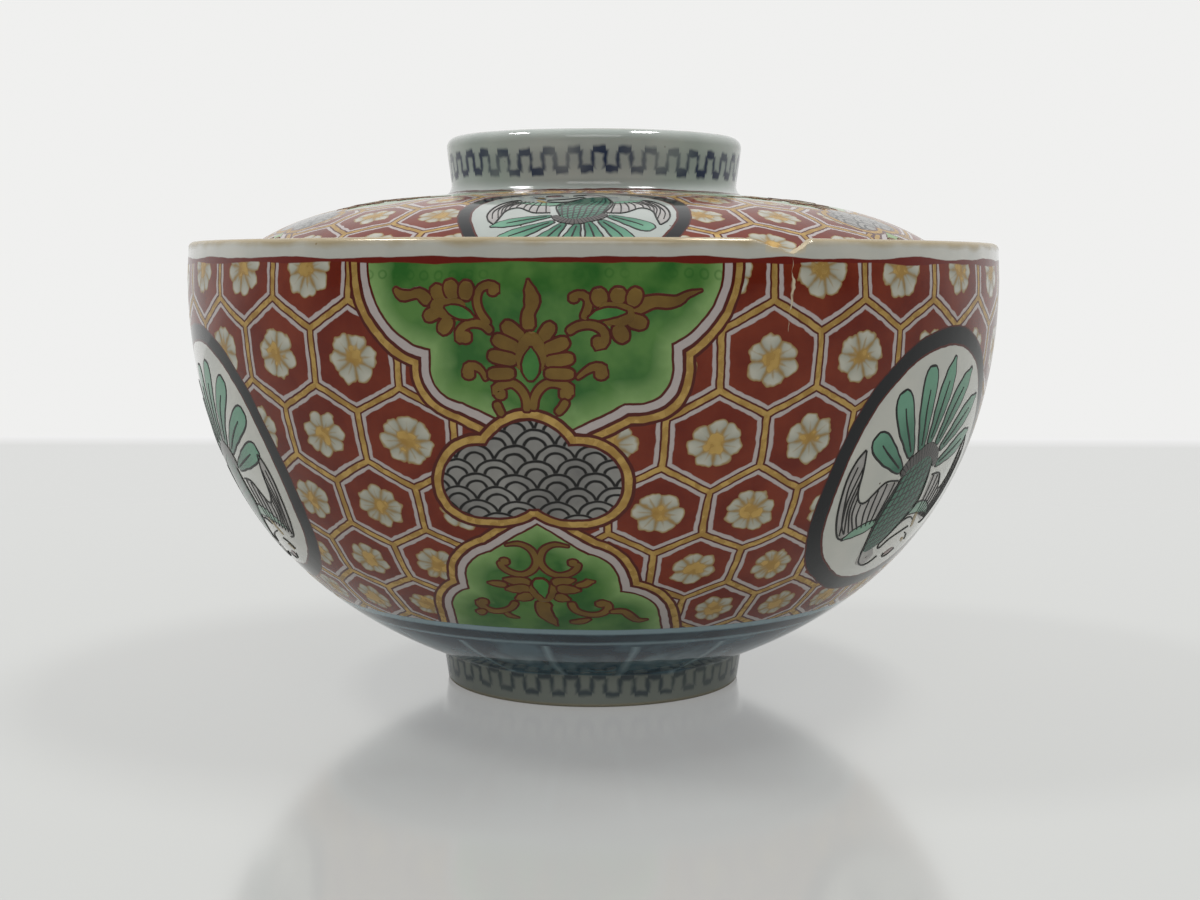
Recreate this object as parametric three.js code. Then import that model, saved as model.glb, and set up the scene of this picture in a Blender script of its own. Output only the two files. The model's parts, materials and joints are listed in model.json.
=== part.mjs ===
import * as THREE from 'three';

// A lidded porcelain soup bowl in millimetres, +Z up.
// It stands on its foot ring at the origin, and the lid sits inside the mouth.

// Fineness of the turned shapes
const turnSegments = 64;
const sweepSteps = 12;
const cornerSteps = 2;

// Bowl: outside, from the foot ring up to the belly
const bowlRadius = 60.5;
const bowlHeight = 66.4;
const bellyDrop = 5.4;
const wallRiseAngle = 22;
const lowerFullness = 28.4;
const upperFullness = 25.3;

// Bowl: lip, wall and floor
const lipTuck = 0.2;
const lipWall = 1.8;
const bodyWall = 4.2;
const wallTaperLength = 7;
const floorWall = 3.6;
const wellDrop = 0.6;
const wellEase = 1.5;

// Bowl: foot ring
const footRadius = 22.3;
const footHeight = 4.9;
const footFlare = 0.7;
const footWall = 3.3;
const footDraft = 0.5;
const footEdgeRound = 0.6;
const footJoinRound = 0.8;

// Lid: seat and dome
const seatDrop = 6.3;
const seatGap = 0.3;
const domeRise = 13.5;
const domeCrownAngle = 4.6;
const domeRimAngle = 48.7;
const crownFullness = 15.1;
const rimFullness = 12.3;
const lidEdgeWall = 2;
const lidBodyWall = 3.4;
const lidCrownWall = 4.2;

// Lid: ring that serves as its handle, and as its foot when the lid is turned over
const ringNeckRadius = 21.3;
const ringRadius = 22.4;
const ringHeight = 8.6;
const ringWall = 3.4;
const ringDraft = 0.5;
const ringOuterRound = 1.5;
const ringInnerRound = 0.9;
const ringJoinRound = 0.9;

const point = (r, z) => new THREE.Vector2(r, z);
const radians = THREE.MathUtils.degToRad;
const along = (start, degrees, length) =>
  point(Math.cos(radians(degrees)), Math.sin(radians(degrees))).multiplyScalar(length).add(start);

// Points of a circular arc.
function arc(centre, radius, fromDegrees, toDegrees, steps) {
  return Array.from({ length: steps + 1 }, (_, i) =>
    along(centre, THREE.MathUtils.lerp(fromDegrees, toDegrees, i / steps), radius));
}

// A profile's corner rounded to a radius, tangent to the lines from the points before and after it.
function rounded(before, at, after, radius) {
  const back = before.clone().sub(at).normalize();
  const ahead = after.clone().sub(at).normalize();
  const half = Math.acos(back.dot(ahead)) / 2;
  const centre = back.clone().add(ahead).setLength(radius / Math.sin(half)).add(at);
  const start = at.clone().addScaledVector(back, radius / Math.tan(half));
  const sweep = -Math.sign(back.cross(ahead)) * (Math.PI - 2 * half);
  return Array.from({ length: cornerSteps + 1 }, (_, i) =>
    start.clone().rotateAround(centre, sweep * i / cornerSteps));
}

// Points beside a curve, each moved along the curve's left-hand normal by the wall at that point.
function wallBeside(curve, wallAt) {
  return Array.from({ length: sweepSteps + 1 }, (_, i) => {
    const t = i / sweepSteps;
    const here = curve.getPoint(t);
    const tangent = curve.getTangent(t);
    return point(-tangent.y, tangent.x).multiplyScalar(wallAt(here, t)).add(here);
  });
}

// Radius at one height of a run of points that climbs.
function radiusAtHeight(run, height) {
  const above = run.findIndex((p) => p.y >= height);
  const [low, high] = [run[above - 1], run[above]];
  return THREE.MathUtils.mapLinear(height, low.y, high.y, low.x, high.x);
}

// A solid turned from a profile that runs anticlockwise from the axis and back to it.
function turned(name, profile, material) {
  const geometry = new THREE.LatheGeometry(profile, turnSegments).rotateX(Math.PI / 2);
  const mesh = new THREE.Mesh(geometry, material);
  mesh.name = name;
  return mesh;
}

// Bowl: the wall swells from the foot ring to an upright belly, then tucks in to a round lip.
const footBase = point(footRadius, 0);
const footTop = point(footRadius + footFlare, footHeight);
const footJoin = rounded(footBase, footTop, along(footTop, wallRiseAngle, lowerFullness), footJoinRound);
const wallStart = footJoin.pop();
const belly = point(bowlRadius, bowlHeight - bellyDrop);
const outerWall = new THREE.CubicBezierCurve(
  wallStart,
  along(wallStart, wallRiseAngle, lowerFullness),
  along(belly, -90, upperFullness),
  belly,
);

const lipRound = lipWall / 2;
const lipCentre = point(bowlRadius - lipTuck - lipRound, bowlHeight - lipRound);

// The wall thickens from the lip downwards, so the mouth tapers and the lid wedges in it.
const wallBelowLip = (p) => {
  const thinning = Math.exp((p.y - lipCentre.y) / wallTaperLength);
  return THREE.MathUtils.lerp(bodyWall, lipWall, thinning);
};
const innerWall = wallBeside(outerWall, wallBelowLip);
const mouth = [...innerWall, point(lipCentre.x - lipRound, lipCentre.y)];

const wellEdge = innerWall[0];
const floorHeight = wellEdge.y - wellDrop;
const floorCentre = point(0, floorHeight);
const well = new THREE.QuadraticBezierCurve(wellEdge, point(wellEdge.x - wellEase, floorHeight), floorCentre);

// Under the floor the foot ring stands round a shallow recess.
const recessCentre = point(0, floorHeight - floorWall);
const recessEdge = point(footRadius - footWall - footDraft, recessCentre.y);
const footInner = point(footRadius - footWall, 0);

const bowlProfile = [
  recessCentre,
  ...rounded(recessCentre, recessEdge, footInner, footJoinRound),
  ...rounded(recessEdge, footInner, footBase, footEdgeRound),
  ...rounded(footInner, footBase, footTop, footEdgeRound),
  ...footJoin,
  ...outerWall.getPoints(sweepSteps),
  ...arc(lipCentre, lipRound, 0, 180, 2 * cornerSteps),
  ...innerWall.toReversed(),
  ...well.getPoints(cornerSteps).slice(1),
];

// Lid: its edge takes its radius from the mouth at the height where it seats.
const lidEdgeHeight = bowlHeight - seatDrop;
const lidRadius = radiusAtHeight(mouth, lidEdgeHeight) - seatGap;
const edgeRound = lidEdgeWall / 2;
const edgeCentre = point(lidRadius - edgeRound, lidEdgeHeight);
const domeEdge = along(edgeCentre, 90 - domeRimAngle, edgeRound);

const ringNeck = point(ringNeckRadius, lidEdgeHeight + domeRise);
const ringTop = ringNeck.y + ringHeight;
const ringBrim = point(ringRadius, ringTop);
const ringMouth = point(ringRadius - ringWall, ringTop);
const ringJoin = rounded(along(ringNeck, -domeCrownAngle, crownFullness), ringNeck, ringBrim, ringJoinRound);
const domeCrown = ringJoin.shift();
const dome = new THREE.CubicBezierCurve(
  domeEdge,
  along(domeEdge, 180 - domeRimAngle, rimFullness),
  along(domeCrown, -domeCrownAngle, crownFullness),
  domeCrown,
);

const underside = wallBeside(dome, (p, t) => THREE.MathUtils.lerp(lidEdgeWall, lidBodyWall, t)).reverse();
const crownRise = underside[0].x * Math.tan(radians(domeCrownAngle)) / 2;
const ceiling = point(0, underside[0].y + crownRise);

// Inside the ring the lid's top is a shallow recess like the one under the bowl.
const ringFloor = point(0, ceiling.y + lidCrownWall);
const ringFloorEdge = point(ringMouth.x - ringDraft, ringFloor.y);

const lidProfile = [
  ceiling,
  ...underside,
  ...arc(edgeCentre, edgeRound, -90 - domeRimAngle, 90 - domeRimAngle, 2 * cornerSteps).slice(1, -1),
  ...dome.getPoints(sweepSteps),
  ...ringJoin,
  ...rounded(ringNeck, ringBrim, ringMouth, ringOuterRound),
  ...rounded(ringBrim, ringMouth, ringFloorEdge, ringInnerRound),
  ...rounded(ringMouth, ringFloorEdge, ringFloor, ringJoinRound),
  ringFloor,
];

const bowlGlaze = new THREE.MeshStandardMaterial({ color: 0xa8452f, roughness: 0.18, metalness: 0 });
const lidGlaze = new THREE.MeshStandardMaterial({ color: 0xb04a33, roughness: 0.18, metalness: 0 });

const soupBowl = new THREE.Group();
soupBowl.add(turned('bowl', bowlProfile, bowlGlaze));
soupBowl.add(turned('lid', lidProfile, lidGlaze));

export default soupBowl;
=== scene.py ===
import json
from bisect import bisect_right
from math import atan2, cos, exp, pi, radians, sin, tan

import bmesh
import bpy
from mathutils import Matrix, Vector, geometry, noise

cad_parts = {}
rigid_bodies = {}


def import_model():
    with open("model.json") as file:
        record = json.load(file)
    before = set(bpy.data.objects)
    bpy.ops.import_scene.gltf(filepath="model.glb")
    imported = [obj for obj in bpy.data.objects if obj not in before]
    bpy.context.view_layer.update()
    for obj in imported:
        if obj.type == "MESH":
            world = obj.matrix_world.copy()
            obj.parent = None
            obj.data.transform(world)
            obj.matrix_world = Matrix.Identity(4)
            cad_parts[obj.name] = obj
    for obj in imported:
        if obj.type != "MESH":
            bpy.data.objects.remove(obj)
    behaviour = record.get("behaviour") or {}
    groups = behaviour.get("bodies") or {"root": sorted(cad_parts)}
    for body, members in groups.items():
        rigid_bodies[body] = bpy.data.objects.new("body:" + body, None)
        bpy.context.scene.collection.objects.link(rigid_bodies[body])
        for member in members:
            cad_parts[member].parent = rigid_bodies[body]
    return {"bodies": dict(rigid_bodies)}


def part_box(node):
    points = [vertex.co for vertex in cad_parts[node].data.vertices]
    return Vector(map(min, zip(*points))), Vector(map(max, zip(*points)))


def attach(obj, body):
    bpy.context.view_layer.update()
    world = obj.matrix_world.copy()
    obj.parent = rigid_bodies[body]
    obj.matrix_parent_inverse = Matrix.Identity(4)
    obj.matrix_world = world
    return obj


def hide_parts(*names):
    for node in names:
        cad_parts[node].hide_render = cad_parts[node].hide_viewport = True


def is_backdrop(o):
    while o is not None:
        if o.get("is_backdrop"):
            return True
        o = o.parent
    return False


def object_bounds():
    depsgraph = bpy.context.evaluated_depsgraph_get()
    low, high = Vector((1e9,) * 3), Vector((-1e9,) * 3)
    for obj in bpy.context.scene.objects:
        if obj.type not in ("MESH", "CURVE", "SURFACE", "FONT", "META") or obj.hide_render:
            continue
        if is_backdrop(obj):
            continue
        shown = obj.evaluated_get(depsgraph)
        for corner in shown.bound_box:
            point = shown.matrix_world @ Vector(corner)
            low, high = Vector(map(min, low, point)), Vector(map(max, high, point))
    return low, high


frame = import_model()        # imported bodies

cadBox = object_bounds()
mm = 0.001
scene = bpy.context.scene
print("frame loaded:", ", ".join(frame["bodies"]))


# Shader maths: one value in a node tree

class Value:
    def __init__(self, tree, socket=None):
        self.tree = tree
        self.socket = socket

    def node(self, kind, settings=None, sockets=None, out=0):
        made = self.tree.nodes.new(kind)
        for name, setting in (settings or {}).items():
            setattr(made, name, setting)
        for name, value in (sockets or {}).items():
            if isinstance(value, Value):
                self.tree.links.new(value.socket, made.inputs[name])
            else:
                made.inputs[name].default_value = value
        return Value(self.tree, made.outputs[out] if made.outputs else None)

    def also(self, out):             # another output of the same node
        return Value(self.tree, self.socket.node.outputs[out])

    def math(self, operation, *values, clamp=False):
        settings = {"operation": operation, "use_clamp": clamp}
        return self.node("ShaderNodeMath", settings, dict(enumerate(values)))

    def __add__(self, other):
        return self.math("ADD", self, other)

    def __radd__(self, other):
        return self.math("ADD", other, self)

    def __sub__(self, other):
        return self.math("SUBTRACT", self, other)

    def __rsub__(self, other):
        return self.math("SUBTRACT", other, self)

    def __mul__(self, other):
        return self.math("MULTIPLY", self, other)

    def __rmul__(self, other):
        return self.math("MULTIPLY", other, self)

    def __truediv__(self, other):
        return self.math("DIVIDE", self, other)

    def __rtruediv__(self, other):
        return self.math("DIVIDE", other, self)

    def __pow__(self, other):
        return self.math("POWER", self, other)

    def __mod__(self, other):
        return self.math("FLOORED_MODULO", self, other)

    def __lt__(self, other):
        return self.math("LESS_THAN", self, other)

    def __neg__(self):
        return self.math("MULTIPLY", self, -1)

    def __abs__(self):
        return self.math("ABSOLUTE", self)

    def __round__(self):
        return self.math("ROUND", self)


def least(first, *others):
    for other in others:
        first = first.math("MINIMUM", first, other)
    return first


def most(first, *others):
    for other in others:
        first = first.math("MAXIMUM", first, other)
    return first


def reach(x, y):                     # length of the offset x, y
    return (x * x + y * y) ** 0.5


def within(distance, edge, soft=0.07):   # 1 inside the edge and 0 outside it, with a brushed border
    return distance.math("MULTIPLY_ADD", distance, -1 / soft, edge / soft + 0.5, clamp=True)


def beyond(distance, edge, soft=0.07):
    return distance.math("MULTIPLY_ADD", distance, 1 / soft, 0.5 - edge / soft, clamp=True)


def colour(red, green, blue):        # screen values 0 to 255 as a linear colour
    def linear(part):
        part /= 255
        return part / 12.92 if part <= 0.04045 else ((part + 0.055) / 1.055) ** 2.4
    return linear(red), linear(green), linear(blue), 1


def blend(mask, under, over):        # over covers under where the mask is 1
    return mask.node("ShaderNodeMix", {"data_type": "RGBA"}, {0: mask, 6: under, 7: over}, out=2)


def choose(mask, under, over):       # the same for two numbers
    return under + (over - under) * mask


def newMaterial(name):
    material = bpy.data.materials.new(name)
    material.use_nodes = True
    material.node_tree.nodes.clear()
    return material, Value(material.node_tree)


def closeMaterial(start, sockets):
    shader = start.node("ShaderNodeBsdfPrincipled", {}, sockets)
    start.node("ShaderNodeOutputMaterial", {}, {"Surface": shader})


# Paints and glazes as they look in plain light, save the foot glaze, which is painted darker as painted shade

paints = {
    "glaze": colour(204, 202, 192),
    "glazeShade": colour(189, 190, 182),
    "lidGlaze": colour(182, 188, 182),
    "lidGlazeShade": colour(168, 176, 171),
    # painted shade: the foot's glaze is painted darker and greyer for the shade under the bowl's belly
    "shadedFootGlaze": colour(160, 165, 156),
    "bareClay": colour(176, 168, 146),
    "brokenClay": colour(206, 192, 164),
    "stain": colour(178, 158, 118),
    "speck": colour(84, 66, 48),
    "ironRed": colour(107, 33, 16),
    "ironRedThin": colour(126, 50, 28),
    "line": colour(84, 28, 20),
    "rimRed": colour(110, 34, 26),
    "mauve": colour(184, 173, 171),
    "gold": colour(164, 128, 66),
    "goldPale": colour(190, 156, 90),
    "petal": colour(192, 190, 176),
    "petalShade": colour(152, 152, 138),
    "petalEdge": colour(158, 130, 82),
    "green": colour(90, 134, 66),
    "greenDeep": colour(50, 104, 44),
    "greenPale": colour(134, 168, 104),
    "wave": colour(156, 154, 150),
    "waveShade": colour(118, 116, 114),
    "ink": colour(24, 23, 22),
    "ringBlack": colour(28, 29, 32),
    "cobalt": colour(32, 60, 78),
    "cobaltDeep": colour(22, 38, 50),
    "cobaltWash": colour(84, 116, 130),
    "cobaltPale": colour(150, 176, 186),
    "fretBlue": colour(40, 52, 80),
    "fretGrey": colour(92, 102, 106),
}


# Turned profiles, in millimetres

def rounded(before, at, after, radius, steps=6):
    back = (before - at).normalized()
    ahead = (after - at).normalized()
    half = back.angle(ahead) / 2
    centre = at + (back + ahead).normalized() * (radius / sin(half))
    start = at + back * (radius / tan(half)) - centre
    end = at + ahead * (radius / tan(half)) - centre
    return [centre + start.slerp(end, i / steps).normalized() * radius for i in range(steps + 1)]


def along(start, degree, length):
    return start + Vector((cos(radians(degree)), sin(radians(degree)))) * length


def arcOf(centre, radius, fromDegree, toDegree, steps):
    turn = (toDegree - fromDegree) / steps
    return [along(centre, fromDegree + turn * i, radius) for i in range(steps + 1)]


def wallBeside(run, wallAt):         # the run moved to its left by the wall at each point
    moved = []
    for i, here in enumerate(run):
        ahead = (run[min(i + 1, len(run) - 1)] - run[max(i - 1, 0)]).normalized()
        moved.append(here + Vector((-ahead.y, ahead.x)) * wallAt(here, i / (len(run) - 1)))
    return moved


class Run:                           # a line of points measured along its length
    def __init__(self, points):
        self.points = [points[0]]
        self.lengths = [0]
        for point in points[1:]:
            step = (point - self.points[-1]).length
            if step > 1e-6:
                self.points.append(point)
                self.lengths.append(self.lengths[-1] + step)

    def at(self, length):            # the point there, and the direction to its right
        i = min(max(bisect_right(self.lengths, length), 1), len(self.points) - 1)
        low, high = self.points[i - 1], self.points[i]
        here = low.lerp(high, (length - self.lengths[i - 1]) / (self.lengths[i] - self.lengths[i - 1]))
        ahead = (high - low).normalized()
        return here, Vector((ahead.y, -ahead.x))

    def place(self, turn, length, lift=0):   # a point on the surface that the run turns, in metres
        here, outward = self.at(length)
        here = (here + outward * lift) * mm
        return Vector((here.x * sin(turn), -here.x * cos(turn), here.y))


bowlShape = {
    "enamelRoom": 0.15, "bellyDrop": 5.4, "riseAngle": 22, "lowerFullness": 28.4, "upperFullness": 25.3,
    "wallSteps": 57, "wellSteps": 12, "lipTuck": 0.2, "lipWall": 1.8, "bodyWall": 4.2, "taperLength": 7,
    "floorWall": 3.6, "wellDrop": 0.6, "wellEase": 1.5,
    "footRadius": 22.3, "footHeight": 4.9, "footFlare": 0.7, "footWall": 3.3, "footDraft": 0.5,
    "footEdgeRound": 0.6, "footJoinRound": 0.8,
}


def bowlProfile(shape):
    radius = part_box("bowl")[1][0] / mm - shape["enamelRoom"]
    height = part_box("bowl")[1][2] / mm
    footBase = Vector((shape["footRadius"], 0))
    footTop = Vector((shape["footRadius"] + shape["footFlare"], shape["footHeight"]))
    wallAhead = along(footTop, shape["riseAngle"], shape["lowerFullness"])
    footJoin = rounded(footBase, footTop, wallAhead, shape["footJoinRound"])
    wallStart = footJoin.pop()
    belly = Vector((radius, height - shape["bellyDrop"]))
    outerWall = geometry.interpolate_bezier(
        wallStart, along(wallStart, shape["riseAngle"], shape["lowerFullness"]),
        along(belly, -90, shape["upperFullness"]), belly, shape["wallSteps"])
    lipRound = shape["lipWall"] / 2
    lipCentre = Vector((radius - shape["lipTuck"] - lipRound, height - lipRound))

    def wallAt(point, share):        # thickest low down, so the mouth tapers and the lid wedges in it
        thinning = exp((point.y - lipCentre.y) / shape["taperLength"])
        return shape["bodyWall"] + (shape["lipWall"] - shape["bodyWall"]) * thinning

    innerWall = wallBeside(outerWall, wallAt)[::2]
    wellEdge = innerWall[0]
    floorCentre = Vector((0, wellEdge.y - shape["wellDrop"]))
    wellTurn = Vector((wellEdge.x - shape["wellEase"], floorCentre.y))
    well = geometry.interpolate_bezier(
        wellEdge, wellEdge.lerp(wellTurn, 2 / 3), floorCentre.lerp(wellTurn, 2 / 3), floorCentre,
        shape["wellSteps"])

    recessCentre = Vector((0, floorCentre.y - shape["floorWall"]))
    footInner = Vector((shape["footRadius"] - shape["footWall"], 0))
    recessEdge = Vector((footInner.x - shape["footDraft"], recessCentre.y))
    under = [recessCentre, recessCentre.lerp(recessEdge, 0.5)]
    under += rounded(recessCentre, recessEdge, footInner, shape["footJoinRound"])
    under += rounded(recessEdge, footInner, footBase, shape["footEdgeRound"])
    outside = rounded(footInner, footBase, footTop, shape["footEdgeRound"]) + footJoin + outerWall
    outside += arcOf(lipCentre, lipRound, 0, 90, 6)
    inside = arcOf(lipCentre, lipRound, 90, 180, 6)[1:] + innerWall[::-1] + well[1:]
    return under, outside, inside


lidShape = {
    "edgeHeight": 60.1, "domeRise": 13.5, "crownAngle": 4.6, "rimAngle": 48.7,
    "crownFullness": 15.1, "rimFullness": 12.3, "domeSteps": 49,
    "edgeWall": 2, "bodyWall": 3.4, "crownWall": 4.2,
    "neckRadius": 21.3, "ringRadius": 22.4, "ringWall": 3.4, "ringDraft": 0.5,
    "outerRound": 1.5, "innerRound": 0.9, "joinRound": 0.9, "neckRound": 1.6,
}


def lidProfile(shape):
    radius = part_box("lid")[1][0] / mm
    edgeRound = shape["edgeWall"] / 2
    edgeCentre = Vector((radius - edgeRound, shape["edgeHeight"]))
    domeEdge = along(edgeCentre, 90 - shape["rimAngle"], edgeRound)
    neck = Vector((shape["neckRadius"], shape["edgeHeight"] + shape["domeRise"]))
    brim = Vector((shape["ringRadius"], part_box("lid")[1][2] / mm))
    ringMouth = Vector((brim.x - shape["ringWall"], brim.y))
    crownAhead = along(neck, -shape["crownAngle"], shape["crownFullness"])
    ringJoin = rounded(crownAhead, neck, brim, shape["neckRound"])
    crown = ringJoin.pop(0)
    dome = geometry.interpolate_bezier(
        domeEdge, along(domeEdge, 180 - shape["rimAngle"], shape["rimFullness"]),
        along(crown, -shape["crownAngle"], shape["crownFullness"]), crown, shape["domeSteps"])

    def wallAt(point, share):
        return shape["edgeWall"] + (shape["bodyWall"] - shape["edgeWall"]) * share

    underside = wallBeside(dome, wallAt)[::-2]
    ceilingRise = underside[0].x * tan(radians(shape["crownAngle"])) / 2
    ceiling = Vector((0, underside[0].y + ceilingRise))
    ringFloor = Vector((0, ceiling.y + shape["crownWall"]))
    floorEdge = Vector((ringMouth.x - shape["ringDraft"], ringFloor.y))

    under = [ceiling, ceiling.lerp(underside[0], 0.5)] + underside
    under += arcOf(edgeCentre, edgeRound, -90 - shape["rimAngle"], 0, 6)[1:]
    outside = arcOf(edgeCentre, edgeRound, 0, 90 - shape["rimAngle"], 3)[:-1] + dome + ringJoin
    outside += rounded(neck, brim, ringMouth, shape["outerRound"])
    inside = rounded(brim, ringMouth, floorEdge, shape["innerRound"])
    inside += rounded(ringMouth, floorEdge, ringFloor, shape["joinRound"])
    inside += [floorEdge.lerp(ringFloor, 0.5), ringFloor]
    return under, outside, inside


turnSteps = 288
slant = Vector((1, 2.7, 7.4))        # no two points of a shell lie level along it


def settleOrder(bm):                 # the same order on every run
    bm.verts.sort(key=lambda vert: vert.co.dot(slant))
    bm.edges.sort(key=lambda edge: (edge.verts[0].co + edge.verts[1].co).dot(slant))
    bm.faces.sort(key=lambda face: face.calc_center_median().dot(slant))


def turnedShell(sections):           # each point keeps its arc length from the start of the outside
    under, outside, inside = sections
    bm = bmesh.new()
    arcLayer = bm.verts.layers.float.new("arc")
    whole = Run(under + outside + inside)
    start = Run(under + outside[:1]).lengths[-1]
    section = []
    for point, length in zip(whole.points, whole.lengths):
        vert = bm.verts.new((0, -point.x * mm, point.y * mm))
        vert[arcLayer] = length - start
        section.append(vert)
    edges = [bm.edges.new(pair) for pair in zip(section, section[1:])]
    bmesh.ops.spin(bm, geom=section + edges, cent=(0, 0, 0), axis=(0, 0, 1), dvec=(0, 0, 0),
                   angle=2 * pi, steps=turnSteps, use_merge=True)
    bmesh.ops.remove_doubles(bm, verts=bm.verts, dist=1e-7)
    bmesh.ops.recalc_face_normals(bm, faces=bm.faces)
    for face in bm.faces:
        face.smooth = True
    settleOrder(bm)
    return bm, Run(outside)


def turnOf(point):                   # 0 at the front, growing to the right
    return atan2(point.x, -point.y)


bakeMap = {"row": 0.45, "used": 0.44, "under": 0.91, "inside": 0.955, "strip": 0.04, "margin": 0.002}


def layBakeMap(bm, outsideArc):      # two half turns of the outside fill the map, the rest is a strip above
    mapLayer = bm.loops.layers.uv.new("OFBake")
    arcLayer = bm.verts.layers.float["arc"]
    lowest = min(vert[arcLayer] for vert in bm.verts)
    highest = max(vert[arcLayer] for vert in bm.verts)
    for face in bm.faces:
        middleTurn = turnOf(face.calc_center_median())
        middleArc = sum(vert[arcLayer] for vert in face.verts) / len(face.verts)
        for loop in face.loops:
            at = loop.vert.co
            turn = turnOf(at) if at.xy.length > 1e-6 else middleTurn
            turn += 2 * pi * round((middleTurn - turn) / (2 * pi))
            arc = loop.vert[arcLayer]
            u = (turn + pi) / (2 * pi)
            if middleArc < 0:
                v = bakeMap["under"] + bakeMap["strip"] * arc / lowest
            elif middleArc > outsideArc:
                v = bakeMap["inside"] + bakeMap["strip"] * (arc - outsideArc) / (highest - outsideArc)
            else:
                row = int(middleTurn >= 0)
                u = 2 * u - row
                v = row * bakeMap["row"] + bakeMap["used"] * arc / outsideArc
            loop[mapLayer].uv = [bakeMap["margin"] + (1 - 2 * bakeMap["margin"]) * part for part in (u, v)]


def addPiece(name, bm, body, materials):
    mesh = bpy.data.meshes.new(name)
    bm.to_mesh(mesh)
    bm.free()
    piece = bpy.data.objects.new(name, mesh)
    scene.collection.objects.link(piece)
    for material in materials:
        mesh.materials.append(material)
    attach(piece, body)
    print("made", name, "with", len(mesh.polygons), "faces")
    return piece


# Painted porcelain: the ground that the painter works on, with their hand's drift and tremble

freehand = {                         # millimetres of drift and tremble, and the scales of their noise
    "driftScale": 95, "drift": 1.1, "trembleScale": 700, "tremble": 0.24, "onWheel": 0.3,
    "washScale": 170, "washDetail": 3,
}


class Ground:
    def __init__(self, start):
        place = start.node("ShaderNodeTexCoord", out="Object")
        x = start.node("ShaderNodeSeparateXYZ", {}, {0: place})
        self.start = start
        self.arc = start.node("ShaderNodeAttribute", {"attribute_name": "arc"}, out="Fac")
        self.radius = reach(x, x.also("Y")) * (1 / mm)
        self.turn = x.math("ARCTAN2", x, -x.also("Y")) * (180 / pi)
        drifting = self.noise(place, freehand["driftScale"], 1, "Color")
        trembling = self.noise(place, freehand["trembleScale"], 1, "Color")
        drifts = start.node("ShaderNodeSeparateXYZ", {}, {0: drifting})
        trembles = start.node("ShaderNodeSeparateXYZ", {}, {0: trembling})
        drift, tremble = freehand["drift"], freehand["tremble"]
        sideways = (drifts - 0.5) * drift + (trembles - 0.5) * tremble
        upwards = (drifts.also("Y") - 0.5) * drift + (trembles.also("Y") - 0.5) * tremble
        self.s = self.arc + upwards
        self.steady = self.arc + upwards * freehand["onWheel"]     # for lines drawn on a turning wheel
        self.drawTurn = self.turn + sideways / self.radius * (180 / pi)
        self.drift = drifts.also("Z")
        self.grain = trembles.also("Z")
        self.wash = self.noise(place, freehand["washScale"], freehand["washDetail"], "Fac")

    def noise(self, place, scale, detail, out):
        sockets = {"Vector": place, "Scale": scale, "Detail": detail}
        return self.start.node("ShaderNodeTexNoise", {}, sockets, out)

    def across(self, turn, repeats):  # millimetres sideways from the nearest of several even places
        part = 360 / repeats
        return ((self.drawTurn + (part / 2 - turn)) % part - part / 2) * self.radius * radians(1)


bowlPlan = {
    "cells": 28, "cellTurn": 15.1, "rows": (2.572, -0.10355, 0.000314), "rowArc": 52,
    "panelTurn": -7, "panelScale": 1, "panelArc": 53,
    "discTurn": 53, "discScale": 1, "discArc": 51.3, "topArc": 80, "bottomArc": 25,
    "lowestStroke": 20,
}
lidPlan = {
    "cells": 24, "cellTurn": 11, "rows": (0.965, 0.1196, -0.000241), "rowArc": 16,
    "panelTurn": 56.7, "panelScale": 0.6, "panelArc": 16,
    "discTurn": -3.3, "discScale": -0.757, "discArc": 16.2, "topArc": 38.2, "bottomArc": 2.6,
    "lowestStroke": 33,
}
drawing = {                          # millimetres at the bowl's size
    "panelMiddle": 53, "discRadius": 20.2, "discRing": 2.1, "goldLine": 0.36, "cellLine": 0.62,
    "cellBand": 1.14, "waveRadius": 2.5, "waveRise": 1.9, "waveLine": 0.2,
}


blossom = {                          # petals, then lengths in cell widths, then millimetres
    "petals": 5.8, "morePetals": 2.4, "spin": 6, "roundness": 0.6, "lobe": 0.24, "ragged": 0.5, "full": 1.08,
    "radius": 0.195, "moreRadius": 0.025, "rayTaper": 0.1, "streakTaper": 0.2,
    "shade": 0.75, "edge": 0.24, "streak": 0.42, "heart": 1.3, "heartRagged": 2.6,
}
rowStep = 0.75 ** 0.5                # from row to row in cell widths


def hexCells(u, v):                  # offset from the nearest cell's middle in cell widths, and its number
    pair = 3 ** 0.5
    evenU, evenV = round(u), round(v / pair) * pair
    oddU, oddV = round(u - 0.5) + 0.5, round(v / pair - 0.5) * pair + pair / 2
    evenGap = (u - evenU) * (u - evenU) + (v - evenV) * (v - evenV)
    oddGap = (u - oddU) * (u - oddU) + (v - oddV) * (v - oddV)
    isOdd = oddGap < evenGap
    cellU, cellV = choose(isOdd, evenU, oddU), choose(isOdd, evenV, oddV)
    return u - cellU, v - cellV, cellU, cellV


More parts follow.
